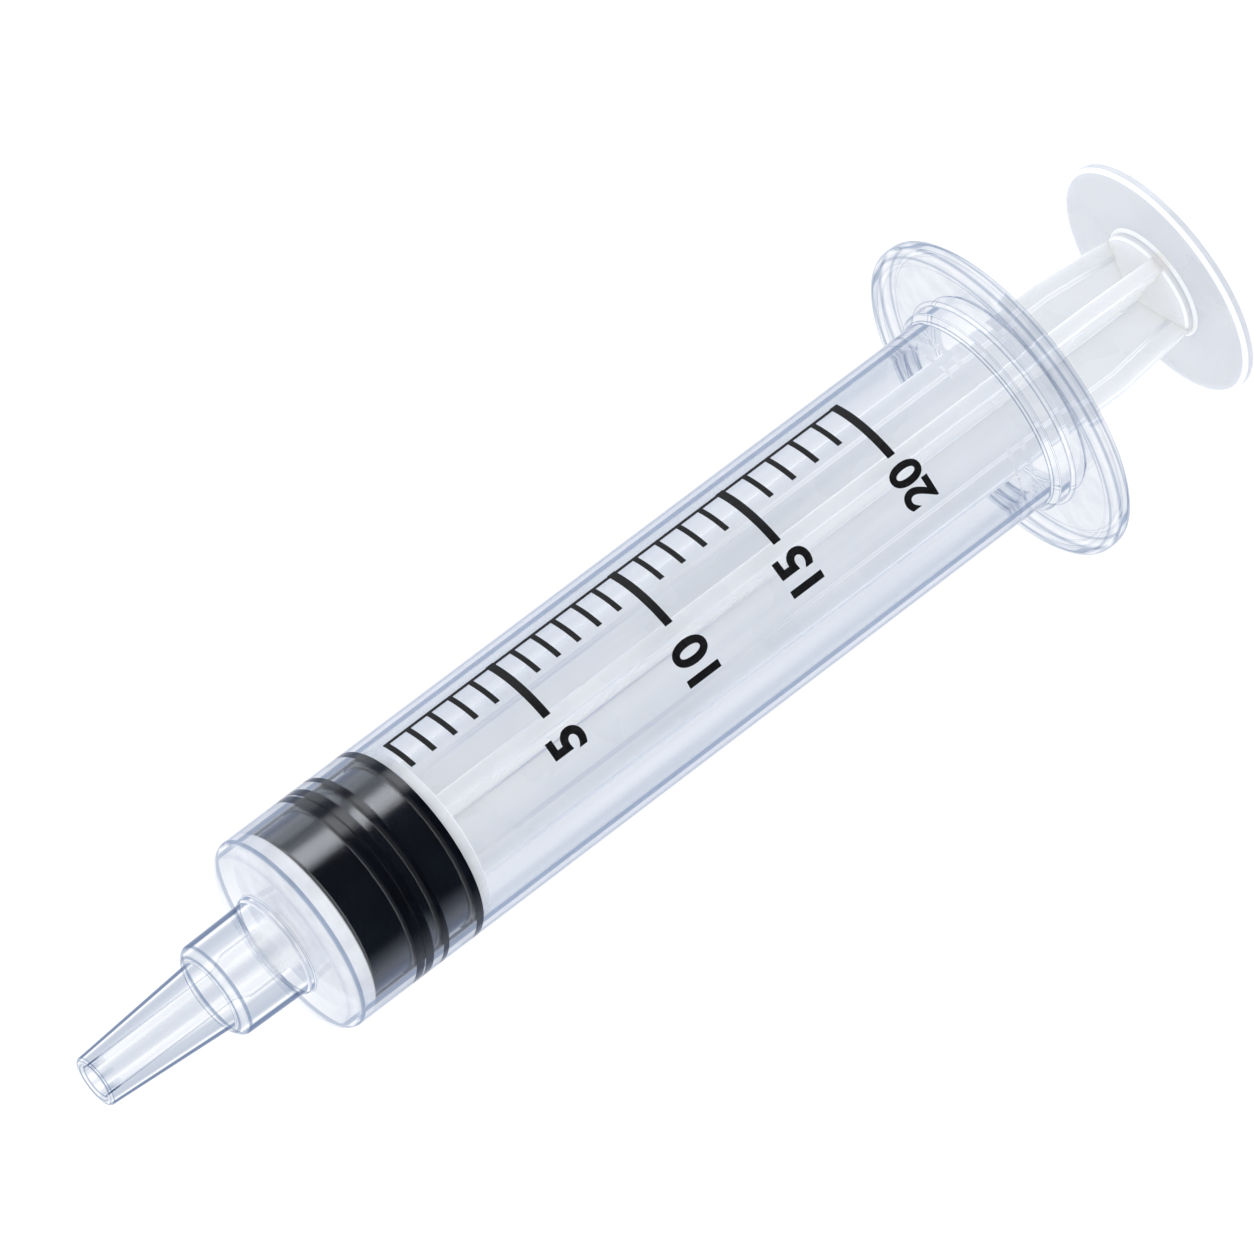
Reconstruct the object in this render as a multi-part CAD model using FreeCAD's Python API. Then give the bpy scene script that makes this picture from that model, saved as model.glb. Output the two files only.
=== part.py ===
import FreeCAD, Part
import math
import os

# Irrigation syringe, 20 mL, standing on its thumb plate with the tip up.
# Millimetres. Origin at the middle of the thumb plate's outer face, +Z towards the tip.
# Three moulded pieces and a printed scale:
#   plunger_rod  one milky moulding: thumb plate, boss, cruciform shank, front disc, barbed knob
#   stopper      black rubber, three sealing ribs, snapped over the knob
#   barrel       one clear moulding: finger flange, collar, tube, shoulder, hub, tapered tip
#   scale_print  the ink of the graduation on the tube

# Thumb plate and its boss
PLATE_RADIUS = 13.8
PLATE_THICKNESS = 1.5
PLATE_EDGE_ROUNDING = 0.6
PLATE_DISH_RADIUS = 11.9
PLATE_DISH_DEPTH = 0.35
BOSS_RADIUS = 6.3
BOSS_HEIGHT = 1.2
BOSS_FILLET = 0.5
FLUTE_END_HEIGHT = 1.7
FLUTE_END_RADIUS = 1.3

# Cruciform shank with a bead along each rib's edge
SHANK_START_HALF_WIDTH = 6.1
SHANK_HALF_WIDTH = 7.2
SHANK_TAPER_LENGTH = 9.0
RIB_COUNT = 4
RIB_THICKNESS = 1.3
BEAD_THICKNESS = 1.8
BEAD_DEPTH = 1.9
SHANK_TURN = -78.0

# Front disc, neck and barbed knob that carry the stopper
DISC_RADIUS = 9.6
DISC_THICKNESS = 1.5
DISC_EDGE_ROUNDING = 0.3
NECK_RADIUS = 3.0
NECK_LENGTH = 2.6
KNOB_RADIUS = 4.6
KNOB_RIM = 0.8
KNOB_TOP_RADIUS = 2.4
KNOB_LENGTH = 4.0

# Rubber stopper, measured from its rear face
STOPPER_REAR = 101.1
STOPPER_LENGTH = 14.0
NOSE_RADIUS = 9.75
NOSE_ROUNDING = 0.5
WAIST_RADIUS = 9.6
REAR_RIB_WIDTH = 1.0
LONG_WAIST = 3.5
MIDDLE_RIB_WIDTH = 0.8
SHORT_WAIST = 1.2
FRONT_RIB_WIDTH = 1.1
GROOVE_WIDTH = 0.16
GROOVE_DEPTH = 0.3
RIB_ROUNDING = 0.12

# Running clearances
BORE_CLEARANCE = 0.03
KNOB_CLEARANCE = 0.08
SEAT_GAP = 0.05
TRAVEL_GAP = 0.1

# Barrel tube and front wall
BORE_RADIUS = 10.2
WALL = 1.1
FRONT_GAP = 1.45
FRONT_CONE_RISE = 1.0
FRONT_WALL = 1.9
SHOULDER_ROUNDING = 1.5
INNER_CORNER_ROUNDING = 0.9

# Hub and tapered tip
HUB_BASE_RADIUS = 5.5
HUB_RADIUS = 5.35
HUB_LENGTH = 8.85
HUB_ROUNDING = 1.1
HUB_RING_RADIUS = 5.75
HUB_RING_HEIGHT = 0.6
HUB_RING_ROUNDING = 0.2
TIP_BASE_RADIUS = 3.95
TIP_END_RADIUS = 2.86
TIP_LENGTH = 15.0
TIP_FILLET = 0.15
TIP_RIM_ROUNDING = 0.35
LUMEN_RADIUS = 1.85
LUMEN_MOUTH_ROUNDING = 0.25
HUB_LUMEN_RADIUS = 2.6
LUMEN_STEP_BELOW_HUB_TOP = 1.8
LUMEN_STEP_LENGTH = 1.6

# Finger flange, collar and the ring that keeps the stopper in
FLANGE_BACK = 21.4
FLANGE_RADIUS = 18.9
FLANGE_RIM_THICKNESS = 2.6
FLANGE_RIM_WIDTH = 2.0
FLANGE_RIM_ROUNDING = 1.0
FLANGE_WEB_THICKNESS = 1.7
FLANGE_STEP_FILLET = 0.3
MOUTH_RING_WALL = 1.5
MOUTH_CHAMFER = 0.5
COLLAR_STEP = 0.8
COLLAR_HEIGHT = 1.7
COLLAR_FILLET = 0.5
COLLAR_EDGE_ROUNDING = 0.25
STOP_RING_FROM_FLANGE = 5.6
STOP_RING_DEPTH = 0.3
STOP_RING_WIDTH = 1.2
STOP_RING_RAMP = 0.5

# Printed scale. Heights of the long marks, and how many short marks stand on the tip side of each
INK_THICKNESS = 0.08
LONG_MARK_HEIGHTS = (40.1, 55.4, 69.8, 85.9)
SHORT_MARK_COUNTS = (4, 4, 5, 5)
LAST_SHORT_SPACING = 2.74
SHORT_MARK_WIDTH = 0.52
LONG_MARK_WIDTH = 0.84
SPINE_WIDTH = 0.42
SPINE_ANGLE = -35.0
SHORT_MARK_SPAN = 23.0
LONG_MARK_SPAN = 45.0
LONG_MARK_OVERSHOOT = 1.6

# Heights and radii that follow from the sizes above
BARREL_RADIUS = BORE_RADIUS + WALL
RIB_RADIUS = BORE_RADIUS - BORE_CLEARANCE
BOSS_TOP = PLATE_THICKNESS + BOSS_HEIGHT
SHANK_FULL = BOSS_TOP + SHANK_TAPER_LENGTH
DISC_TOP = STOPPER_REAR - SEAT_GAP
DISC_BOTTOM = DISC_TOP - DISC_THICKNESS
KNOB_BOTTOM = DISC_TOP + NECK_LENGTH
KNOB_TOP = KNOB_BOTTOM + KNOB_LENGTH
NOSE_EDGE = STOPPER_REAR + STOPPER_LENGTH
NOSE_RISE = FRONT_CONE_RISE * NOSE_RADIUS / BORE_RADIUS
INNER_WALL_EDGE = NOSE_EDGE + FRONT_GAP
SHOULDER = INNER_WALL_EDGE + FRONT_WALL
HUB_BASE = SHOULDER + FRONT_CONE_RISE * (1 - HUB_RING_RADIUS / BARREL_RADIUS)
HUB_TOP = HUB_BASE + HUB_LENGTH
TIP_END = HUB_TOP + TIP_LENGTH
FLANGE_FRONT = FLANGE_BACK + FLANGE_RIM_THICKNESS
WEB_INSET = (FLANGE_RIM_THICKNESS - FLANGE_WEB_THICKNESS) / 2
STOP_RING_BOTTOM = FLANGE_BACK + STOP_RING_FROM_FLANGE
STOP_RING_TOP = STOP_RING_BOTTOM + STOP_RING_WIDTH + 2 * STOP_RING_RAMP

# Corners rounded by less than this are drawn as a flat break of the same size
SMALLEST_ARC = 0.4

AXIS_POINT = FreeCAD.Vector(0, 0, 0)
AXIS = FreeCAD.Vector(0, 0, 1)
FULL_TURN = 360.0


def outline(corners):
    """Closed outline in the XZ plane through (radius, height, rounding) corners."""
    points = [FreeCAD.Vector(radius, 0, height) for radius, height, _ in corners]
    stretches = []
    for index, (_, _, rounding) in enumerate(corners):
        here = points[index]
        to_last = (points[index - 1] - here).normalize()
        to_next = (points[(index + 1) % len(points)] - here).normalize()
        if rounding == 0:
            stretches.append((here, None, here))
            continue
        half_angle = to_last.getAngle(to_next) / 2
        reach = rounding / math.tan(half_angle)
        towards_centre = (to_last + to_next).normalize()
        depth = rounding / math.sin(half_angle) - rounding
        middle = here + towards_centre * depth if rounding >= SMALLEST_ARC else None
        stretches.append((here + to_last * reach, middle, here + to_next * reach))
    edges = []
    for index, (start, middle, end) in enumerate(stretches):
        if middle is not None:
            edges.append(Part.Arc(start, middle, end).toShape())
        elif start != end:
            edges.append(Part.LineSegment(start, end).toShape())
        following = stretches[(index + 1) % len(stretches)][0]
        edges.append(Part.LineSegment(end, following).toShape())
    return Part.Wire(edges)


def turned(corners):
    """Solid of revolution about the syringe's axis."""
    return Part.Face(outline(corners)).revolve(AXIS_POINT, AXIS, FULL_TURN)


def rib_section(half_width, height):
    """Section of one rib with its edge bead, from the axis out along +X, as a wire."""
    neck = half_width - BEAD_DEPTH
    thin = RIB_THICKNESS / 2
    thick = BEAD_THICKNESS / 2
    slope = thick - thin
    side = ((0, thin), (neck - slope, thin), (neck, thick), (half_width, thick))
    mirrored = [(x, -y) for x, y in reversed(side)]
    points = [FreeCAD.Vector(x, y, height) for x, y in list(side) + mirrored]
    return Part.makePolygon(points + points[:1])


def shank():
    """Cruciform shank: it narrows towards the thumb plate and is parallel inside the barrel."""
    narrow = rib_section(SHANK_START_HALF_WIDTH, BOSS_TOP)
    wide = rib_section(SHANK_HALF_WIDTH, SHANK_FULL)
    tapered = Part.makeLoft([narrow, wide], True, True)
    parallel = Part.Face(wide).extrude(AXIS * (DISC_BOTTOM - SHANK_FULL))
    rib = tapered.fuse(parallel)
    ribs = []
    for index in range(RIB_COUNT):
        copy = rib.copy()
        copy.rotate(AXIS_POINT, AXIS, SHANK_TURN + index * FULL_TURN / RIB_COUNT)
        ribs.append(copy)
    return ribs[0].multiFuse(ribs[1:])


def plunger_rod():
    """Thumb plate with a shallow dish outside, boss, shank, front disc and barbed knob."""
    plate = turned([
        (0, PLATE_DISH_DEPTH, 0),
        (PLATE_DISH_RADIUS - PLATE_DISH_DEPTH, PLATE_DISH_DEPTH, 0),
        (PLATE_DISH_RADIUS, 0, 0),
        (PLATE_RADIUS, 0, PLATE_EDGE_ROUNDING),
        (PLATE_RADIUS, PLATE_THICKNESS, PLATE_EDGE_ROUNDING),
        (BOSS_RADIUS, PLATE_THICKNESS, BOSS_FILLET),
        (BOSS_RADIUS, BOSS_TOP, BOSS_FILLET),
        (FLUTE_END_RADIUS, BOSS_TOP + FLUTE_END_HEIGHT, BOSS_FILLET),
        (0, BOSS_TOP + FLUTE_END_HEIGHT, 0),
    ])
    front = turned([
        (0, DISC_BOTTOM, 0),
        (DISC_RADIUS, DISC_BOTTOM, DISC_EDGE_ROUNDING),
        (DISC_RADIUS, DISC_TOP, DISC_EDGE_ROUNDING),
        (NECK_RADIUS, DISC_TOP, 0),
        (NECK_RADIUS, KNOB_BOTTOM, 0),
        (KNOB_RADIUS, KNOB_BOTTOM, 0),
        (KNOB_RADIUS, KNOB_BOTTOM + KNOB_RIM, 0),
        (KNOB_TOP_RADIUS, KNOB_TOP, 0),
        (0, KNOB_TOP, 0),
    ])
    return plate.multiFuse([shank(), front]).removeSplitter()


def stopper():
    """Rubber stopper: nose, double front rib, middle rib, rear rib, and the knob's pocket."""
    rear_rib_top = STOPPER_REAR + REAR_RIB_WIDTH
    middle_rib_bottom = rear_rib_top + LONG_WAIST
    middle_rib_top = middle_rib_bottom + MIDDLE_RIB_WIDTH
    double_rib_bottom = middle_rib_top + SHORT_WAIST
    groove_bottom = double_rib_bottom + FRONT_RIB_WIDTH
    groove_top = groove_bottom + GROOVE_WIDTH
    double_rib_top = groove_top + FRONT_RIB_WIDTH
    body = turned([
        (0, STOPPER_REAR, 0),
        (RIB_RADIUS, STOPPER_REAR, RIB_ROUNDING),
        (RIB_RADIUS, rear_rib_top, RIB_ROUNDING),
        (WAIST_RADIUS, rear_rib_top, RIB_ROUNDING),
        (WAIST_RADIUS, middle_rib_bottom, RIB_ROUNDING),
        (RIB_RADIUS, middle_rib_bottom, RIB_ROUNDING),
        (RIB_RADIUS, middle_rib_top, RIB_ROUNDING),
        (WAIST_RADIUS, middle_rib_top, RIB_ROUNDING),
        (WAIST_RADIUS, double_rib_bottom, RIB_ROUNDING),
        (RIB_RADIUS, double_rib_bottom, RIB_ROUNDING),
        (RIB_RADIUS, groove_bottom, 0),
        (RIB_RADIUS - GROOVE_DEPTH, (groove_bottom + groove_top) / 2, 0),
        (RIB_RADIUS, groove_top, 0),
        (RIB_RADIUS, double_rib_top, RIB_ROUNDING),
        (NOSE_RADIUS, double_rib_top, RIB_ROUNDING),
        (NOSE_RADIUS, NOSE_EDGE, NOSE_ROUNDING),
        (0, NOSE_EDGE + NOSE_RISE, 0),
    ])
    pocket = turned([
        (0, STOPPER_REAR, 0),
        (NECK_RADIUS + KNOB_CLEARANCE, STOPPER_REAR, 0),
        (NECK_RADIUS + KNOB_CLEARANCE, KNOB_BOTTOM - KNOB_CLEARANCE, 0),
        (KNOB_RADIUS + KNOB_CLEARANCE, KNOB_BOTTOM - KNOB_CLEARANCE, 0),
        (KNOB_RADIUS + KNOB_CLEARANCE, KNOB_BOTTOM + KNOB_RIM + KNOB_CLEARANCE, 0),
        (KNOB_TOP_RADIUS + KNOB_CLEARANCE, KNOB_TOP + KNOB_CLEARANCE, 0),
        (0, KNOB_TOP + KNOB_CLEARANCE, 0),
    ])
    return body.cut(pocket)


def barrel():
    """Clear barrel as one revolved section, from the flange up the outside and down the bore."""
    web_back = FLANGE_BACK + WEB_INSET
    web_front = FLANGE_FRONT - WEB_INSET
    rim_inner = FLANGE_RADIUS - FLANGE_RIM_WIDTH
    collar_radius = BARREL_RADIUS + COLLAR_STEP
    collar_top = web_front + COLLAR_HEIGHT
    mouth_outer = BORE_RADIUS + MOUTH_RING_WALL
    ring_inner = BORE_RADIUS - STOP_RING_DEPTH
    lumen_step_top = HUB_TOP - LUMEN_STEP_BELOW_HUB_TOP
    return turned([
        (BORE_RADIUS + MOUTH_CHAMFER, FLANGE_BACK, 0),
        (mouth_outer, FLANGE_BACK, 0),
        (mouth_outer, web_back, FLANGE_STEP_FILLET),
        (rim_inner, web_back, FLANGE_STEP_FILLET),
        (rim_inner + WEB_INSET, FLANGE_BACK, FLANGE_STEP_FILLET),
        (FLANGE_RADIUS, FLANGE_BACK, FLANGE_RIM_ROUNDING),
        (FLANGE_RADIUS, FLANGE_FRONT, FLANGE_RIM_ROUNDING),
        (rim_inner + WEB_INSET, FLANGE_FRONT, FLANGE_STEP_FILLET),
        (rim_inner, web_front, FLANGE_STEP_FILLET),
        (collar_radius, web_front, COLLAR_FILLET),
        (collar_radius, collar_top, COLLAR_EDGE_ROUNDING),
        (BARREL_RADIUS, collar_top + COLLAR_FILLET, COLLAR_FILLET),
        (BARREL_RADIUS, SHOULDER, SHOULDER_ROUNDING),
        (HUB_RING_RADIUS, HUB_BASE, HUB_RING_ROUNDING),
        (HUB_RING_RADIUS, HUB_BASE + HUB_RING_HEIGHT, HUB_RING_ROUNDING),
        (HUB_BASE_RADIUS, HUB_BASE + HUB_RING_HEIGHT + HUB_RING_ROUNDING, 0),
        (HUB_RADIUS, HUB_TOP, HUB_ROUNDING),
        (TIP_BASE_RADIUS, HUB_TOP, TIP_FILLET),
        (TIP_END_RADIUS, TIP_END, TIP_RIM_ROUNDING),
        (LUMEN_RADIUS, TIP_END, LUMEN_MOUTH_ROUNDING),
        (LUMEN_RADIUS, lumen_step_top, 0),
        (HUB_LUMEN_RADIUS, lumen_step_top - LUMEN_STEP_LENGTH, 0),
        (HUB_LUMEN_RADIUS, INNER_WALL_EDGE + FRONT_CONE_RISE * (1 - HUB_LUMEN_RADIUS / BORE_RADIUS), 0),
        (BORE_RADIUS, INNER_WALL_EDGE, INNER_CORNER_ROUNDING),
        (BORE_RADIUS, STOP_RING_TOP, 0),
        (ring_inner, STOP_RING_TOP - STOP_RING_RAMP, 0),
        (ring_inner, STOP_RING_BOTTOM + STOP_RING_RAMP, 0),
        (BORE_RADIUS, STOP_RING_BOTTOM, 0),
        (BORE_RADIUS, FLANGE_BACK + MOUTH_CHAMFER, 0),
    ])


def ink_patch(middle_height, width, start_angle, span):
    """Thin patch of ink on the tube, from one angle about the axis over a span."""
    bottom = middle_height - width / 2
    section = outline([
        (BARREL_RADIUS, bottom, 0),
        (BARREL_RADIUS + INK_THICKNESS, bottom, 0),
        (BARREL_RADIUS + INK_THICKNESS, bottom + width, 0),
        (BARREL_RADIUS, bottom + width, 0),
    ])
    patch = Part.Face(section).revolve(AXIS_POINT, AXIS, span)
    patch.rotate(AXIS_POINT, AXIS, start_angle)
    return patch


def short_mark_heights():
    """Heights of the short marks, spread evenly on the tip side of each long mark."""
    heights = []
    for index, (height, count) in enumerate(zip(LONG_MARK_HEIGHTS, SHORT_MARK_COUNTS)):
        if index + 1 < len(LONG_MARK_HEIGHTS):
            spacing = (LONG_MARK_HEIGHTS[index + 1] - height) / (count + 1)
        else:
            spacing = LAST_SHORT_SPACING
        heights.extend(height + spacing * (step + 1) for step in range(count))
    return heights


def scale_print():
    """Spine line along the tube with the short and long marks running round from it."""
    spine_half_angle = math.degrees(SPINE_WIDTH / 2 / BARREL_RADIUS)
    short_heights = short_mark_heights()
    spine_bottom = LONG_MARK_HEIGHTS[0]
    spine_top = max(short_heights) + SHORT_MARK_WIDTH / 2
    spine = ink_patch((spine_bottom + spine_top) / 2, spine_top - spine_bottom,
                      SPINE_ANGLE - spine_half_angle, 2 * spine_half_angle)
    marks = []
    for height in LONG_MARK_HEIGHTS:
        span = LONG_MARK_SPAN + LONG_MARK_OVERSHOOT
        marks.append(ink_patch(height, LONG_MARK_WIDTH, SPINE_ANGLE - LONG_MARK_SPAN, span))
    for height in short_heights:
        marks.append(ink_patch(height, SHORT_MARK_WIDTH, SPINE_ANGLE - SHORT_MARK_SPAN, SHORT_MARK_SPAN))
    return spine.multiFuse(marks).removeSplitter()


os.makedirs("parts", exist_ok=True)
NODES = {
    "plunger_rod": plunger_rod(),
    "stopper": stopper(),
    "barrel": barrel(),
    "scale_print": scale_print(),
}
for name, shape in NODES.items():
    shape.exportStep(f"parts/{name}.step")
    print(name, "solids", len(shape.Solids), "valid", shape.isValid(), "volume", round(shape.Volume, 1))

print("length", round(TIP_END, 2))
print("slide range", round(-(FRONT_GAP - TRAVEL_GAP), 2), round(STOPPER_REAR - STOP_RING_TOP - TRAVEL_GAP, 2))
print("tip lumen from", round(HUB_TOP - LUMEN_STEP_BELOW_HUB_TOP, 2), "to", round(TIP_END, 2))
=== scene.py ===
import math

import bmesh
import bpy
from mathutils import Matrix, Vector


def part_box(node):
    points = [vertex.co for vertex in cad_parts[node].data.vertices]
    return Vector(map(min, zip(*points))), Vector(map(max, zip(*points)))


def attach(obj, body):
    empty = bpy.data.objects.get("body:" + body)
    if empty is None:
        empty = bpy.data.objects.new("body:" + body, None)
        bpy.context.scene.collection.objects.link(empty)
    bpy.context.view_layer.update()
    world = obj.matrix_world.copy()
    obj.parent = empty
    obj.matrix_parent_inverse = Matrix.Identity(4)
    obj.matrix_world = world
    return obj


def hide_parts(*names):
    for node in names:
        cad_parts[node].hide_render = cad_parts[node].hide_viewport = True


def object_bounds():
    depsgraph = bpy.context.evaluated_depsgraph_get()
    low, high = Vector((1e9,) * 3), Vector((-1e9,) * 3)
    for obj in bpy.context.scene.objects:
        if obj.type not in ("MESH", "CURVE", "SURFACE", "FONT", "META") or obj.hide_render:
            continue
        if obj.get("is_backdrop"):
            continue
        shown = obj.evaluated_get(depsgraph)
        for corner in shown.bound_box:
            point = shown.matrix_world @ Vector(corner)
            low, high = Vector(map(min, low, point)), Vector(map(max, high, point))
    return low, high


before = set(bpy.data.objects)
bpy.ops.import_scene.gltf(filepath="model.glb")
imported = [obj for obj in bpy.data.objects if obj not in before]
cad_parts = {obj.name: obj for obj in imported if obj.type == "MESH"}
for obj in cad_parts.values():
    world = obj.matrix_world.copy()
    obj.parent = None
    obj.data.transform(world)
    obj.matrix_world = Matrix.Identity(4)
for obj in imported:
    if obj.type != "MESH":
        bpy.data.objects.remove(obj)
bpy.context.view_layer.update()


# Barrel. One clear injection moulding in polished polypropylene: finger flange with a thick
# rim, collar, tube, rounded shoulder, hub and long tapered tip with a through lumen. A low
# ring inside the mouth keeps the stopper in. Corners are rounded as a mould leaves them.
barrel_low, barrel_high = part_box("barrel")
bore_radius = 0.0102
barrel_radius = 0.0113
flange_back = barrel_low.z
flange_radius = barrel_high.x
flange_rim_thickness = 0.0026
flange_rim_width = 0.0020
flange_web_inset = 0.00045
flange_front = flange_back + flange_rim_thickness
collar_radius = 0.0121
collar_top = flange_front - flange_web_inset + 0.0017
shoulder = 0.11845
hub_base = 0.11894
hub_top = 0.12779
tip_end = barrel_high.z
inner_wall_edge = 0.11655
mouth_inner_radius = 0.0107
mouth_outer_radius = 0.0117
hub_ring_radius = 0.00575
hub_ring_height = 0.0006
hub_ring_rounding = 0.0002
hub_base_radius = 0.0055
hub_radius = 0.00535
tip_base_radius = 0.00395
tip_end_radius = 0.00286
lumen_radius = 0.00185
hub_lumen_radius = 0.0026
stop_ring_bottom = flange_back + 0.0056
stop_ring_width = 0.0022
stop_ring_ramp = 0.0005
stop_ring_depth = 0.0003


def round_corner(profile, corner, radius, steps, bend):
    """Round one corner of a profile wire with a tangent arc. The bend is 1 in the arc's middle and
    0 from its ends on, so that a material can tell a corner from a flat wall."""
    here = corner.co.copy()
    ways = [(edge.other_vert(corner).co - here).normalized() for edge in corner.link_edges]
    reach = radius / math.tan(ways[0].angle(ways[1]) / 2)
    arc = bmesh.ops.bevel(profile, geom=[corner], affect="VERTICES", offset=reach, offset_type="OFFSET",
                          segments=steps, profile=0.5, material=-1)["verts"]
    nearest = min((vert.co - here).length for vert in arc)
    for vert in arc:
        vert[bend] = (reach - (vert.co - here).length) / (reach - nearest)


def turned(corners, around, steps):
    """A mesh turned about the syringe's axis from (radius, height, rounding) corners."""
    shape = bmesh.new()
    bend = shape.verts.layers.float.new("bend")
    verts = [shape.verts.new((radius, 0, height)) for radius, height, _ in corners]
    for first, second in zip(verts, verts[1:] + verts[:1]):
        shape.edges.new((first, second))
    for corner, (_, _, rounding) in zip(verts, corners):
        if rounding:
            round_corner(shape, corner, rounding, steps, bend)
    bmesh.ops.spin(shape, geom=shape.verts[:] + shape.edges[:], cent=(0, 0, 0), axis=(0, 0, 1),
                   angle=math.tau, steps=around, use_merge=True)
    bmesh.ops.remove_doubles(shape, verts=shape.verts, dist=1e-7)
    bmesh.ops.recalc_face_normals(shape, faces=shape.faces)
    return shape


def finished(shape, name, finish, body, slot, *nodes):
    """Make a smooth-shaded object of a bmesh, in its material, riding on its body."""
    mesh = bpy.data.meshes.new(name)
    shape.to_mesh(mesh)
    shape.free()
    mesh.shade_smooth()
    mesh.set_sharp_from_angle(angle=math.radians(28))
    mesh.materials.append(finish)
    piece = bpy.data.objects.new(name, mesh)
    bpy.context.collection.objects.link(piece)
    piece.modifiers.new("even_shading", "WEIGHTED_NORMAL").keep_sharp = True
    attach(piece, body)
    if nodes:
        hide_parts(*nodes)
    return piece


class Wire:
    """A shader socket that adds nodes to its own tree when it is used in an expression."""

    def __init__(self, tree, socket=None):
        self.tree = tree
        self.socket = socket

    def node(self, kind, settings=None, output=0, **values):
        """Add a node. Settings come first, then values or wires by socket name."""
        made = self.tree.nodes.new(kind)
        for key, value in (settings or {}).items():
            if key == "stops":
                ramp = made.color_ramp
                while len(ramp.elements) < len(value):
                    ramp.elements.new(1.0)
                for element, (place, colour) in zip(ramp.elements, value):
                    element.position = place
                    element.color = (*colour, 1.0)
            else:
                setattr(made, key, value)
        for key, value in values.items():
            label = key.replace("_", " ")
            target = made.inputs[int(key[1:])] if key[0] == "i" and key[1:].isdigit() else made.inputs[label]
            if isinstance(value, Wire):
                self.tree.links.new(value.socket, target)
            else:
                target.default_value = value
        return Wire(self.tree, made.outputs[output])

    def math(self, operation, other=0.0):
        return self.node("ShaderNodeMath", {"operation": operation}, i0=self, i1=other)

    def __add__(self, other):
        return self.math("ADD", other)

    def __mul__(self, other):
        return self.math("MULTIPLY", other)

    def __rsub__(self, other):
        return self.node("ShaderNodeMath", {"operation": "SUBTRACT"}, i0=other, i1=self)

    def most(self, other):
        """The greater of the two values."""
        return self.math("MAXIMUM", other)

    def curve(self, points):
        """This value through a curve of (value, result) points."""
        stops = [(at, (result,) * 3) for at, result in points]
        ramp = self.node("ShaderNodeValToRGB", {"stops": stops}, Fac=self)
        return self.node("ShaderNodeSeparateColor", Color=ramp)

    def between(self, low, high, start=0.0, end=1.0):
        """Smooth step of this value from low to high, as start to end."""
        return self.node("ShaderNodeMapRange", {"interpolation_type": "SMOOTHSTEP"},
                         Value=self, From_Min=low, From_Max=high, To_Min=start, To_Max=end)

    def mixed(self, first, second):
        """Two colours mixed by this value."""
        return self.node("ShaderNodeMix", {"data_type": "RGBA"}, output=2, i0=self, i6=first, i7=second)


def new_finish(name):
    """A material with an empty node tree, the wire that starts it, and its output node."""
    finish = bpy.data.materials.new(name)
    finish.use_nodes = True
    finish.node_tree.nodes.clear()
    output = finish.node_tree.nodes.new("ShaderNodeOutputMaterial")
    return finish, Wire(finish.node_tree), output


# Painted shade: blue-grey tint set against facing, which draws dark ribbons along the silhouettes of the slim
# hub and tip and of the tube, where refraction would show edges.
slim_painted_edge_shade = [(0.0, 0.38), (0.035, 0.36), (0.06, 0.0), (0.16, 0.0), (0.21, 0.34), (0.42, 0.42),
                (0.47, 0.30), (0.51, 0.0), (0.56, 0.0), (0.62, 0.97), (1.0, 0.90)]
tube_painted_edge_shade = [(0.0, 0.0), (0.08, 0.0), (0.20, 0.12), (0.38, 0.20), (0.43, 0.28), (0.58, 0.36), (0.61, 0.95),
                (0.67, 0.90), (0.70, 0.08), (0.77, 0.05), (0.82, 0.62), (0.94, 0.60), (1.0, 0.3)]


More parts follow.
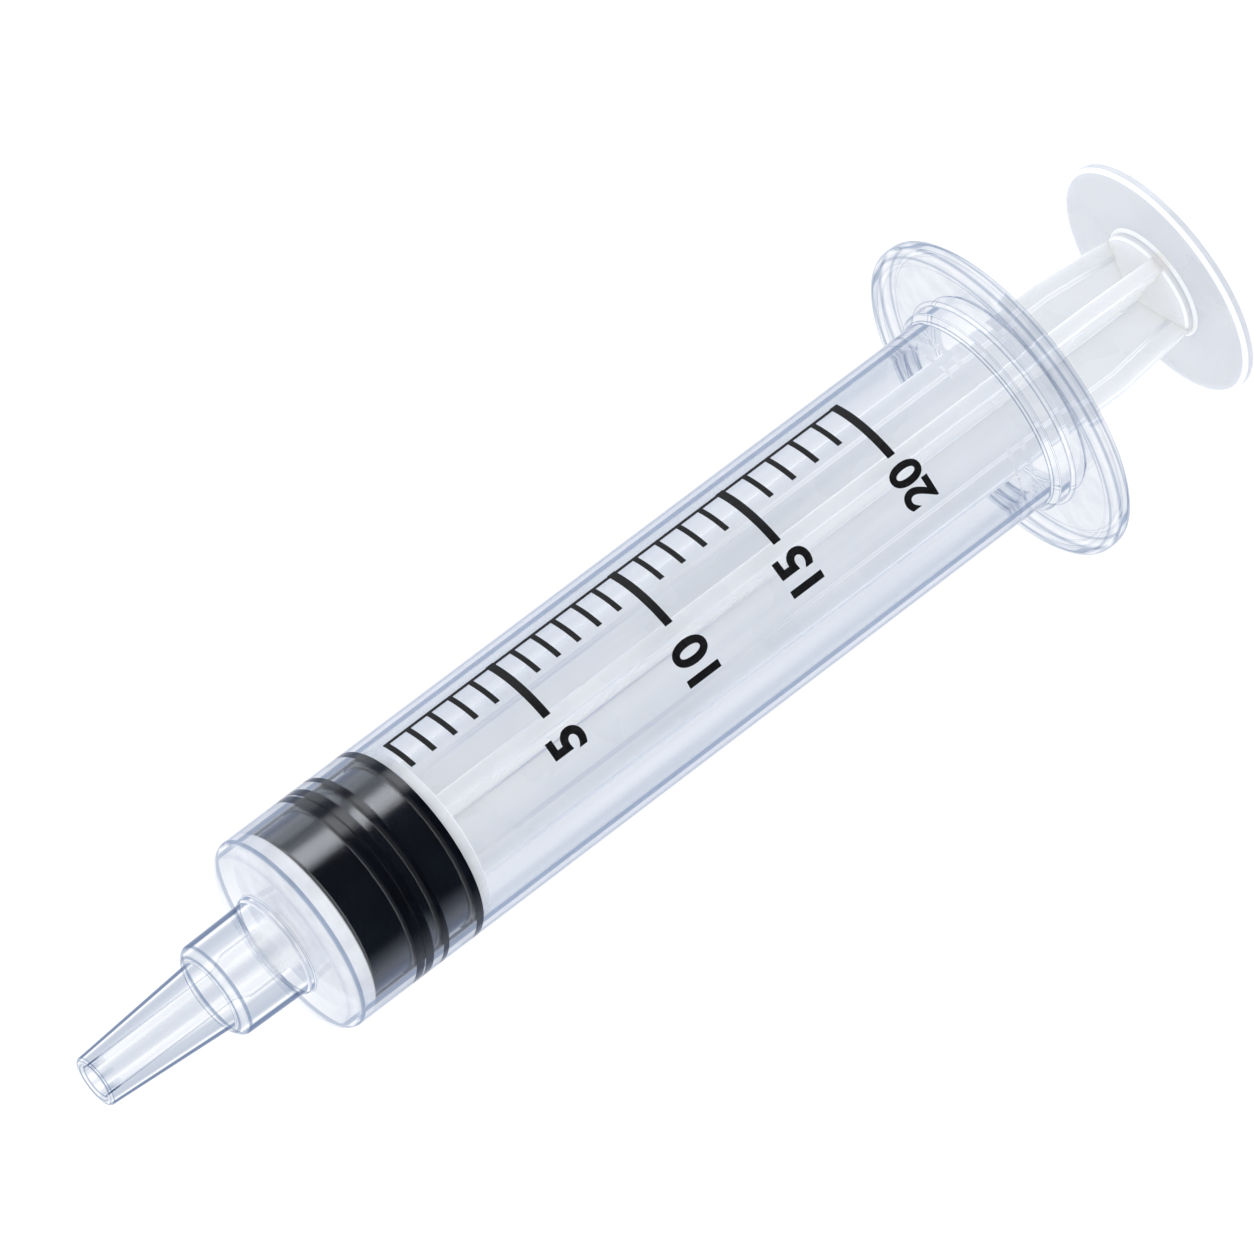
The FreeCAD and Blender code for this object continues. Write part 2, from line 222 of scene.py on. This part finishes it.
def clear_plastic():
    """Polished clear polypropylene: nearly colourless face on, painted shade in blue-grey ribbons along its
    edges and corners, a cloudy flange, matt, milky faces with a painted glow inside the front wall and at the
    gate, and a painted silvery reflection on the bore wall at grazing."""
    finish, tree, output = new_finish("clear_plastic")
    place = tree.node("ShaderNodeTexCoord", output=3)
    across = place.node("ShaderNodeVectorMath", {"operation": "MULTIPLY"}, i0=place, i1=(1, 1, 0))
    radius = across.node("ShaderNodeVectorMath", {"operation": "LENGTH"}, output=1, i0=across)
    height = place.node("ShaderNodeSeparateXYZ", output=2, Vector=place)
    upright = tree.node("ShaderNodeTexCoord", output=1)
    slant = upright.node("ShaderNodeSeparateXYZ", output=2, Vector=upright).math("ABSOLUTE")
    wall = slant.between(0.3, 0.7, 1.0, 0.0)
    stretched = tree.node("ShaderNodeMapping", Vector=place, Scale=(420, 420, 30))
    flow = tree.node("ShaderNodeTexNoise", Vector=stretched, Scale=1.0, Detail=2.0)
    haze = tree.node("ShaderNodeTexNoise", Vector=place, Scale=300.0, Detail=3.0)

    facing = tree.node("ShaderNodeLayerWeight", output=1, Blend=0.5)
    bend = tree.node("ShaderNodeAttribute", {"attribute_name": "bend"}, output=2)
    inner = radius.between(0.0028, 0.0030, 1.0, 0.0) * height.between(0.1405, 0.1412, 1.0, 0.0)
    slim = facing.curve(slim_painted_edge_shade) * radius.between(0.0062, 0.0070, 1.0, 0.0) * wall
    tube = facing.curve(tube_painted_edge_shade) * radius.between(0.0105, 0.0109) * wall
    at_flange = height.between(0.0250, 0.0256, 1.0, 0.0)
    in_front = radius.between(0.0104, 0.0106, 1.0, 0.0) * height.between(0.1130, 0.1140)
    # Painted shade: blue-grey lines on the flanks of each rounded corner, from the bend attribute, weaker on
    # the flange and inside the front wall.
    corner = bend.between(0.02, 0.18) * bend.between(0.5, 0.8, 0.92, 0.05)
    corner = corner * (1.0 - at_flange * 0.3) * (1.0 - in_front * radius.between(0.0062, 0.0070) * 0.7)
    flange = at_flange * haze.between(0.3, 0.7, 0.14, 0.26)
    cloud = slant.between(0.6, 0.9) * flange.most(0.16)
    streak = flow.between(0.4, 0.75, 0.0, 0.06)
    # shade adds the painted shade of edge ribbons and corners to the flange's haze and the flow streaks;
    # light passing through is tinted by it towards the deep blue-grey.
    shade = slim.most(tube).most(corner).most(cloud) * (1.0 - inner * 0.85) + streak
    inside = tree.node("ShaderNodeNewGeometry", output=6)
    pale = (0.982, 0.986, 0.992, 1.0)
    shade_and_haze_tint = (0.36, 0.43, 0.56, 1.0)
    bent = tree.node("ShaderNodeMixShader", i0=shade,
                     i1=tree.node("ShaderNodeBsdfRefraction", Color=pale, Roughness=0.0, IOR=1.12),
                     i2=tree.node("ShaderNodeBsdfRefraction", Color=shade_and_haze_tint, Roughness=0.0, IOR=1.12))
    straight = tree.node("ShaderNodeMixShader", i0=shade,
                         i1=tree.node("ShaderNodeBsdfTransparent", Color=pale),
                         i2=tree.node("ShaderNodeBsdfTransparent", Color=shade_and_haze_tint))
    way_in = (1.0 - inside) * radius.between(0.0105, 0.0109)
    bore_wall = inside * radius.between(0.0095, 0.0099) * radius.between(0.0105, 0.0109, 1.0, 0.0)
    way_on = bore_wall * facing.between(0.44, 0.52, 1.0, 0.0)
    body = tree.node("ShaderNodeMixShader", i0=way_in.most(way_on) * wall, i1=straight, i2=bent)

    # Matt milky faces with an even painted glow (emission) that lightens them where they lie in shade.
    milk = haze.between(0.3, 0.7).mixed((0.44, 0.45, 0.48, 1), (0.52, 0.53, 0.55, 1))
    milky_face_painted_glow = tree.node("ShaderNodeBsdfPrincipled", Roughness=0.55, Emission_Strength=0.45,
                           Emission_Color=(0.97, 0.98, 1.0, 1.0), Base_Color=milk)
    face = radius.between(0.01022, 0.0103, 1.0, 0.0) * height.between(0.11515, 0.1154)
    face = face * height.between(0.1172, 0.1176, 1.0, 0.0) * flow.between(0.2, 0.8, 0.8, 0.97)
    gate = radius.between(0.0027, 0.0029, 1.0, 0.0) * height.between(0.1198, 0.1212, 0.8, 0.0)
    # Painted reflection: at grazing the bore wall takes on the glowing milky face, standing in for its
    # silvery reflection.
    painted_bore_sheen = bore_wall * wall * facing.between(0.50, 0.58, 0.0, 0.7)
    veiled = tree.node("ShaderNodeMixShader", i0=face.most(gate).most(painted_bore_sheen), i1=body, i2=milky_face_painted_glow)
    gloss = tree.node("ShaderNodeBsdfGlossy", Color=(1.0, 1.0, 1.0, 1.0), Roughness=0.02)
    mirror = (facing.math("POWER", 5.0) * 0.9 + 0.02) * (1.0 - inside)
    skin = tree.node("ShaderNodeMixShader", i0=mirror, i1=veiled, i2=gloss)
    tree.tree.links.new(skin.socket, output.inputs["Surface"])
    return finish


clear = clear_plastic()
rim_inner = flange_radius - flange_rim_width
web_back = flange_back + flange_web_inset
web_front = flange_front - flange_web_inset
stop_ring_top = stop_ring_bottom + stop_ring_width
barrel = finished(turned([
    (mouth_inner_radius, flange_back, 0),
    (mouth_outer_radius, flange_back, 0),
    (mouth_outer_radius, web_back, 0.0003),
    (rim_inner, web_back, 0.0003),
    (rim_inner + flange_web_inset, flange_back, 0.0003),
    (flange_radius, flange_back, 0.0010),
    (flange_radius, flange_front, 0.0010),
    (rim_inner + flange_web_inset, flange_front, 0.0003),
    (rim_inner, web_front, 0.0003),
    (collar_radius, web_front, 0.0005),
    (collar_radius, collar_top, 0.00025),
    (barrel_radius, collar_top + 0.0005, 0.0005),
    (barrel_radius, shoulder, 0.0015),
    (hub_ring_radius, hub_base, hub_ring_rounding),
    (hub_ring_radius, hub_base + hub_ring_height, hub_ring_rounding),
    (hub_base_radius, hub_base + hub_ring_height + hub_ring_rounding, 0),
    (hub_radius, hub_top, 0.0011),
    (tip_base_radius, hub_top, 0.00015),
    (tip_end_radius, tip_end, 0.00035),
    (lumen_radius, tip_end, 0.0004),
    (lumen_radius, hub_top - 0.0018, 0),
    (hub_lumen_radius, hub_top - 0.0034, 0),
    (hub_lumen_radius, inner_wall_edge + 0.00075, 0),
    (bore_radius, inner_wall_edge, 0.0009),
    (bore_radius, stop_ring_top, 0),
    (bore_radius - stop_ring_depth, stop_ring_top - stop_ring_ramp, 0),
    (bore_radius - stop_ring_depth, stop_ring_bottom + stop_ring_ramp, 0),
    (bore_radius, stop_ring_bottom, 0),
    (bore_radius, flange_back + 0.0005, 0),
], around=192, steps=10), "clear_barrel", clear, "tube", "clear_barrel", "barrel")
barrel.visible_shadow = False


# Printed scale. Black ink rolled onto the finished tube: a spine, long marks at 5, 10, 15 and
# 20 mL with short marks between, and the numerals beside the long marks.
ink_lift = 0.00003
ink_radius = barrel_radius + ink_lift
long_marks = {20: 0.0401, 15: 0.0554, 10: 0.0698, 5: 0.0859}
short_marks_above = {20: 4, 15: 4, 10: 5, 5: 5}
last_short_spacing = 0.00274
short_mark_width = 0.00062
long_mark_width = 0.00096
spine_width = 0.00042
spine_angle = math.radians(-35.0)
short_span = math.radians(23.0)
long_span = math.radians(45.0)
long_overshoot = math.radians(1.6)
numeral_heights = {20: 0.0038, 15: 0.0041, 10: 0.0042, 5: 0.0042}
numeral_starts = {20: -85.0, 15: -86.6, 10: -90.3, 5: -90.0}
numeral_weight = 0.030


def printing_ink():
    """Matt black printing ink, slightly uneven in its coverage."""
    finish, tree, output = new_finish("printing_ink")
    place = tree.node("ShaderNodeTexCoord", output=3)
    grain = tree.node("ShaderNodeTexNoise", Vector=place, Scale=2600.0, Detail=3.0)
    black = grain.between(0.35, 0.75).mixed((0.004, 0.004, 0.005, 1), (0.012, 0.012, 0.014, 1))
    surface = tree.node("ShaderNodeBsdfPrincipled", Roughness=grain.between(0.3, 0.7, 0.45, 0.6),
                        Specular_IOR_Level=0.15, Base_Color=black)
    tree.tree.links.new(surface.socket, output.inputs["Surface"])
    return finish


def wrap(mesh_verts):
    """Bend flat artwork round the tube: x becomes the angle from the +X side, z stays."""
    for vert in mesh_verts:
        angle = vert.co.x / ink_radius
        radius = ink_radius + vert.co.y
        vert.co = Vector((radius * math.cos(angle), radius * math.sin(angle), vert.co.z))


def flat_patch(shape, start_angle, span, middle, width):
    """One rectangle of artwork, divided so that it bends smoothly."""
    cuts = max(2, round(math.degrees(span) / 2))
    grid = bmesh.ops.create_grid(shape, x_segments=cuts, y_segments=1, size=0.5)["verts"]
    bmesh.ops.scale(shape, vec=(span * ink_radius, width, 1), verts=grid)
    bmesh.ops.rotate(shape, cent=(0, 0, 0), matrix=Matrix.Rotation(math.pi / 2, 3, "X"), verts=grid)
    bmesh.ops.translate(shape, vec=((start_angle + span / 2) * ink_radius, 0, middle), verts=grid)


ink = printing_ink()
artwork = bmesh.new()
short_heights = []
ordered = sorted(long_marks, reverse=True)
for value, following in zip(ordered, ordered[1:] + [None]):
    count = short_marks_above[value]
    spacing = last_short_spacing
    if following is not None:
        spacing = (long_marks[following] - long_marks[value]) / (count + 1)
    short_heights += [long_marks[value] + spacing * (step + 1) for step in range(count)]
spine_top = max(short_heights) + short_mark_width / 2
spine_bottom = min(long_marks.values())
spine_span = spine_width / ink_radius
spine_middle = (spine_top + spine_bottom) / 2
flat_patch(artwork, spine_angle - spine_span / 2, spine_span, spine_middle, spine_top - spine_bottom)
for height in long_marks.values():
    flat_patch(artwork, spine_angle - long_span, long_span + long_overshoot, height, long_mark_width)
for height in short_heights:
    flat_patch(artwork, spine_angle - short_span, short_span, height, short_mark_width)
bmesh.ops.solidify(artwork, geom=artwork.faces[:], thickness=ink_lift)
wrap(artwork.verts)
bmesh.ops.recalc_face_normals(artwork, faces=artwork.faces)
finished(artwork, "scale_marks", ink, "tube", "black_ink", "scale_print")

for value, height in long_marks.items():
    text = bpy.data.curves.new("numeral", "FONT")
    text.body = str(value)
    text.size = 1.0
    text.offset = numeral_weight
    text.resolution_u = 6
    holder = bpy.data.objects.new("numeral", text)
    bpy.context.collection.objects.link(holder)
    flat = bpy.data.meshes.new_from_object(holder.evaluated_get(bpy.context.evaluated_depsgraph_get()))
    bpy.data.objects.remove(holder)
    digits = bmesh.new()
    digits.from_mesh(flat)
    right = max(vert.co.x for vert in digits.verts)
    low = min(vert.co.y for vert in digits.verts)
    high = max(vert.co.y for vert in digits.verts)
    size = numeral_heights[value] / (high - low)
    bmesh.ops.translate(digits, vec=(-right, -(low + high) / 2, 0), verts=digits.verts)
    bmesh.ops.scale(digits, vec=(size, size, 1), verts=digits.verts)
    bmesh.ops.rotate(digits, cent=(0, 0, 0), matrix=Matrix.Rotation(math.pi / 2, 3, "X"), verts=digits.verts)
    start = math.radians(numeral_starts[value]) * ink_radius
    bmesh.ops.translate(digits, vec=(start, 0, height), verts=digits.verts)
    bmesh.ops.solidify(digits, geom=digits.faces[:], thickness=ink_lift)
    wrap(digits.verts)
    bmesh.ops.recalc_face_normals(digits, faces=digits.faces)
    finished(digits, f"numeral_{value}", ink, "tube", "black_ink")


# Stopper. Black rubber, compression moulded, snapped over the rod's knob. Its ribs are a hair
# larger than the bore, so they press flat on the wall and look black right to its edge.
stopper_low, stopper_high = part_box("stopper")
stopper_rear = stopper_low.z
squeeze = 0.00003
rib_radius = bore_radius + squeeze
waist_radius = 0.0096
nose_radius = 0.00975
nose_edge = stopper_rear + 0.0140
nose_top = stopper_high.z
rear_rib_top = stopper_rear + 0.0010
middle_rib_bottom = rear_rib_top + 0.0035
middle_rib_top = middle_rib_bottom + 0.0008
double_rib_bottom = middle_rib_top + 0.0012
groove_bottom = double_rib_bottom + 0.0011
groove_top = groove_bottom + 0.00016
double_rib_top = groove_top + 0.0011
knob_pocket_radius = 0.0047
neck_hole_radius = 0.00308
pocket_top_radius = 0.00248
pocket_bottom = stopper_rear + 0.0024
pocket_rim = stopper_rear + 0.0035
pocket_top = stopper_rear + 0.0067
groove_depth = 0.0003
rib_rounding = 0.00012


def black_rubber():
    """Smooth black rubber with a film of oil, which the ribs have wiped onto the bore."""
    finish, tree, output = new_finish("oiled_rubber")
    place = tree.node("ShaderNodeTexCoord", output=3)
    across = place.node("ShaderNodeVectorMath", {"operation": "MULTIPLY"}, i0=place, i1=(1, 1, 0))
    radius = across.node("ShaderNodeVectorMath", {"operation": "LENGTH"}, output=1, i0=across)
    grain = tree.node("ShaderNodeTexNoise", Vector=place, Scale=5200.0, Detail=4.0)
    cloud = tree.node("ShaderNodeTexNoise", Vector=place, Scale=240.0, Detail=2.0)
    bump = tree.node("ShaderNodeBump", Height=grain, Strength=0.1, Distance=0.00002)
    black = cloud.between(0.3, 0.7).mixed((0.0015, 0.002, 0.004, 1), (0.003, 0.004, 0.008, 1))
    surface = tree.node("ShaderNodeBsdfPrincipled", Base_Color=black, Normal=bump, Specular_IOR_Level=0.3,
                        Roughness=cloud.between(0.3, 0.7, 0.16, 0.22), Coat_IOR=1.9, Coat_Roughness=0.15,
                        Coat_Weight=radius.between(0.0099, 0.0101, 0.9, 0.0))
    tree.tree.links.new(surface.socket, output.inputs["Surface"])
    return finish


finished(turned([
    (neck_hole_radius, stopper_rear, 0),
    (rib_radius, stopper_rear, rib_rounding),
    (rib_radius, rear_rib_top, rib_rounding),
    (waist_radius, rear_rib_top, rib_rounding),
    (waist_radius, middle_rib_bottom, rib_rounding),
    (rib_radius, middle_rib_bottom, rib_rounding),
    (rib_radius, middle_rib_top, rib_rounding),
    (waist_radius, middle_rib_top, rib_rounding),
    (waist_radius, double_rib_bottom, rib_rounding),
    (rib_radius, double_rib_bottom, rib_rounding),
    (rib_radius, groove_bottom, 0.00008),
    (rib_radius - groove_depth, (groove_bottom + groove_top) / 2, 0),
    (rib_radius, groove_top, 0.00008),
    (rib_radius, double_rib_top, rib_rounding),
    (nose_radius, double_rib_top, rib_rounding),
    (nose_radius, nose_edge, 0.0005),
    (0, nose_top, 0),
    (0, pocket_top, 0),
    (pocket_top_radius, pocket_top, 0),
    (knob_pocket_radius, pocket_rim, 0),
    (knob_pocket_radius, pocket_bottom, 0),
    (neck_hole_radius, pocket_bottom, 0),
], around=160, steps=4), "rubber_stopper", black_rubber(), "seal", "black_rubber", "stopper")


# Plunger rod. One moulding in milky polypropylene: round thumb plate, boss, four ribs with a
# bead along each edge, a front disc behind the stopper, and a barbed knob inside it.
plate_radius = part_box("plunger_rod")[1].x
plate_thickness = 0.0015
boss_radius = 0.0063
boss_top = plate_thickness + 0.0012
flute_end = boss_top + 0.0017
shank_start_half = 0.0061
shank_half = 0.0072
shank_full = boss_top + 0.0090
shank_turn = math.radians(-78.0)
rib_half = 0.00065
bead_half = 0.0009
bead_depth = 0.0019
disc_radius = 0.0096
disc_top = stopper_rear - 0.00005
disc_bottom = disc_top - 0.0015
neck_radius = 0.0030
knob_radius = 0.0046
knob_bottom = disc_top + 0.0026


def milky_plastic():
    """Unpigmented polypropylene: milky, light passing a few millimetres into it, satin gloss.
    Rounded edges show a painted white highlight between painted blue-grey shade lines; an even painted glow
    lifts shade, and the plate is painted darker."""
    finish, tree, output = new_finish("milky_plastic")
    place = tree.node("ShaderNodeTexCoord", output=3)
    cloud = tree.node("ShaderNodeTexNoise", Vector=place, Scale=120.0, Detail=2.0)
    grain = tree.node("ShaderNodeTexNoise", Vector=place, Scale=3000.0, Detail=3.0)
    bend = tree.node("ShaderNodeAttribute", {"attribute_name": "bend"}, output=2)
    bump = tree.node("ShaderNodeBump", Height=grain, Strength=0.08, Distance=0.00002)
    height = place.node("ShaderNodeSeparateXYZ", output=2, Vector=place)
    # Painted shade: the thumb plate gets a darker base than the shank, offsetting the fuller light on its
    # upward face; both are one moulding.
    plate = cloud.between(0.3, 0.7).mixed((0.44, 0.45, 0.475, 1), (0.48, 0.49, 0.51, 1))
    shank = cloud.between(0.3, 0.7).mixed((0.60, 0.61, 0.615, 1), (0.63, 0.635, 0.64, 1))
    milk = height.between(0.0016, 0.0030).mixed(plate, shank)
    # Painted shade and painted highlight: blue-grey lines on the flanks of rounded edges, near-white base
    # colour in their middles.
    painted_edge_lines = (bend.between(0.02, 0.15) * bend.between(0.25, 0.45, 0.4, 0.0)).mixed(milk, (0.34, 0.39, 0.50, 1))
    # An even painted glow (emission) lifts the shade in creases and between the ribs.
    surface = tree.node("ShaderNodeBsdfPrincipled",
                        Base_Color=bend.between(0.35, 0.7).mixed(painted_edge_lines, (0.74, 0.745, 0.755, 1)),
                        Emission_Color=(1.0, 1.0, 1.0, 1.0), Emission_Strength=0.2,
                        Roughness=cloud.between(0.3, 0.7, 0.24, 0.34), Normal=bump,
                        Subsurface_Weight=0.8, Subsurface_Radius=(0.9, 1.0, 1.2), Subsurface_Scale=0.0030)
    tree.tree.links.new(surface.socket, output.inputs["Surface"])
    return finish


def shank():
    """Cruciform section drawn as one face, raised to the disc, narrowed at the plate end."""
    shape = bmesh.new()
    bend = shape.verts.layers.float.new("bend")
    neck = shank_half - bead_depth
    slope = bead_half - rib_half
    arm = [(rib_half, -rib_half), (neck - slope, -rib_half), (neck, -bead_half), (shank_half, -bead_half),
           (shank_half, bead_half), (neck, bead_half), (neck - slope, rib_half)]
    ring = []
    for quarter in range(4):
        turn = Matrix.Rotation(quarter * math.pi / 2, 3, "Z")
        ring += [shape.verts.new(turn @ Vector((x, y, disc_bottom))) for x, y in arm]
    section = shape.faces.new(ring)
    raised = bmesh.ops.extrude_face_region(shape, geom=[section])["geom"]
    middle = [item for item in raised if isinstance(item, bmesh.types.BMVert)]
    bmesh.ops.translate(shape, vec=(0, 0, shank_full - disc_bottom), verts=middle)
    face = next(item for item in raised if isinstance(item, bmesh.types.BMFace))
    raised = bmesh.ops.extrude_face_region(shape, geom=[face])["geom"]
    end = [item for item in raised if isinstance(item, bmesh.types.BMVert)]
    bmesh.ops.delete(shape, geom=[face], context="FACES_ONLY")
    bmesh.ops.translate(shape, vec=(0, 0, plate_thickness / 2 - shank_full), verts=end)
    for vert in end:
        if vert.co.xy.length > 2 * rib_half:
            way = Vector((round(vert.co.x / shank_half), round(vert.co.y / shank_half), 0))
            vert.co -= way * (shank_half - shank_start_half)
    bmesh.ops.recalc_face_normals(shape, faces=shape.faces)
    long_edges = [edge for edge in shape.edges
                  if abs(edge.verts[0].co.z - edge.verts[1].co.z) > 0.001]
    rounded = bmesh.ops.bevel(shape, geom=long_edges, affect="EDGES", offset=0.00022, offset_type="OFFSET",
                              segments=4, profile=0.5, material=-1)
    for vert in rounded["verts"]:
        beside = [face for face in vert.link_faces if face not in rounded["faces"]]
        vert[bend] = 0.0 if beside else 1.0
    bmesh.ops.rotate(shape, cent=(0, 0, 0), matrix=Matrix.Rotation(shank_turn, 3, "Z"), verts=shape.verts)
    return shape


def joined(first, *others):
    """Add the faces of other bmeshes to the first."""
    for other in others:
        spare = bpy.data.meshes.new("spare")
        other.to_mesh(spare)
        other.free()
        first.from_mesh(spare)
        bpy.data.meshes.remove(spare)
    return first


milky = milky_plastic()
plate = turned([
    (0, 0.00035, 0),
    (0.01155, 0.00035, 0.0003),
    (0.0119, 0, 0.0003),
    (plate_radius, 0, 0.0006),
    (plate_radius, plate_thickness, 0.0006),
    (boss_radius, plate_thickness, 0.0005),
    (boss_radius, boss_top, 0.0005),
    (0.0013, flute_end, 0.0005),
    (0, flute_end, 0),
], around=144, steps=5)
front = turned([
    (0, disc_bottom, 0),
    (disc_radius, disc_bottom, 0.0003),
    (disc_radius, disc_top, 0.0003),
    (neck_radius, disc_top, 0),
    (neck_radius, knob_bottom, 0),
    (knob_radius, knob_bottom, 0.0002),
    (knob_radius, knob_bottom + 0.0008, 0.0002),
    (0.0024, knob_bottom + 0.0040, 0),
    (0, knob_bottom + 0.0040, 0),
], around=144, steps=4)
finished(joined(plate, shank(), front), "milky_rod", milky, "plunger", "milky_rod", "plunger_rod")


# Studio. A plain pale floor, and soft light from a pale surround with a few soft boxes,
# which the object's gloss shows and the floor doesn't hide from it.
def pale_floor():
    finish, tree, output = new_finish("pale_floor")
    surface = tree.node("ShaderNodeBsdfPrincipled", Base_Color=(0.30, 0.30, 0.30, 1.0), Roughness=0.9,
                        Emission_Color=(1.0, 1.0, 1.0, 1.0), Emission_Strength=0.74)
    tree.tree.links.new(surface.socket, output.inputs["Surface"])
    return finish


ground = bmesh.new()
bmesh.ops.create_circle(ground, cap_ends=True, segments=96, radius=4.0)
ground_mesh = bpy.data.meshes.new("floor")
ground.to_mesh(ground_mesh)
ground.free()
ground_mesh.materials.append(pale_floor())
floor = bpy.data.objects.new("floor", ground_mesh)
bpy.context.collection.objects.link(floor)
floor.location.z = -0.0001
floor.visible_glossy = False
floor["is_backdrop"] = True


surround_light = 4.0
surround_stops = (
    (-180, (0.95, 0.96, 1.0)), (-168, (0.92, 0.94, 0.99)), (-150, (0.42, 0.48, 0.64)),
    (-132, (0.60, 0.65, 0.78)), (-116, (0.75, 0.78, 0.86)), (-98, (0.45, 0.48, 0.55)),
    (-80, (0.03, 0.04, 0.05)), (44, (0.03, 0.035, 0.045)), (55, (3.2, 3.25, 3.3)),
    (74, (3.2, 3.25, 3.3)), (84, (0.3, 0.32, 0.38)), (95, (0.35, 0.38, 0.44)),
    (104, (1.3, 1.35, 1.4)), (124, (1.2, 1.25, 1.3)), (134, (0.60, 0.65, 0.78)),
    (150, (0.42, 0.48, 0.64)), (168, (0.92, 0.94, 0.99)), (180, (0.95, 0.96, 1.0)))


def surround():
    """Even light from above. Lower down, panels round the object that its gloss and edges show,
    set by bearing in degrees from the camera's side towards +X."""
    world = bpy.data.worlds.new("studio")
    bpy.context.scene.world = world
    world.use_nodes = True
    world.cycles.sampling_method = "NONE"
    world.node_tree.nodes.clear()
    output = world.node_tree.nodes.new("ShaderNodeOutputWorld")
    tree = Wire(world.node_tree)
    way = tree.node("ShaderNodeTexCoord", output=0)
    split = world.node_tree.nodes.new("ShaderNodeSeparateXYZ")
    world.node_tree.links.new(way.socket, split.inputs[0])
    east, north, up = (Wire(world.node_tree, split.outputs[index]) for index in range(3))
    turn = east.math("ARCTAN2", north * -1.0) * (1 / math.tau) + 0.5
    stops = [(bearing / 360 + 0.5, [part / surround_light for part in colour])
             for bearing, colour in surround_stops]
    panels = turn.node("ShaderNodeValToRGB", {"stops": stops}, Fac=turn)
    above = up.between(-0.05, 0.15)
    even = (1.125 / surround_light, 1.14 / surround_light, 1.165 / surround_light, 1.0)
    scattered = tree.node("ShaderNodeLightPath", output="Diffuse Depth").math("GREATER_THAN", 0.5)
    colour = scattered.mixed(above.mixed(panels, even), even)
    light = tree.node("ShaderNodeBackground", Color=colour, Strength=surround_light)
    world.node_tree.links.new(light.socket, output.inputs["Surface"])


surround()
bpy.context.scene.view_settings.view_transform = "Standard"
bpy.context.scene.cycles.max_bounces = 20
bpy.context.scene.cycles.transmission_bounces = 20
bpy.context.scene.cycles.glossy_bounces = 8


# Camera. A long lens from the tip side and a little above, rolled so that the tip points down
# to the left as in the photograph.
lens = 373.0
distance = 1.3049
elevation = math.radians(19.45)
roll = math.radians(-127.0)
aim = Vector((0.00425, 0, 0.0696))
camera_data = bpy.data.cameras.new("camera")
camera_data.lens = lens
camera_data.clip_start = 0.05
camera = bpy.data.objects.new("camera", camera_data)
bpy.context.collection.objects.link(camera)
back = Vector((0, -math.cos(elevation), math.sin(elevation)))
camera.location = aim + back * distance
upright = (-back).to_track_quat("-Z", "Y").to_matrix()
camera.rotation_euler = (upright @ Matrix.Rotation(roll, 3, "Z")).to_euler()
bpy.context.scene.camera = camera

low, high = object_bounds()
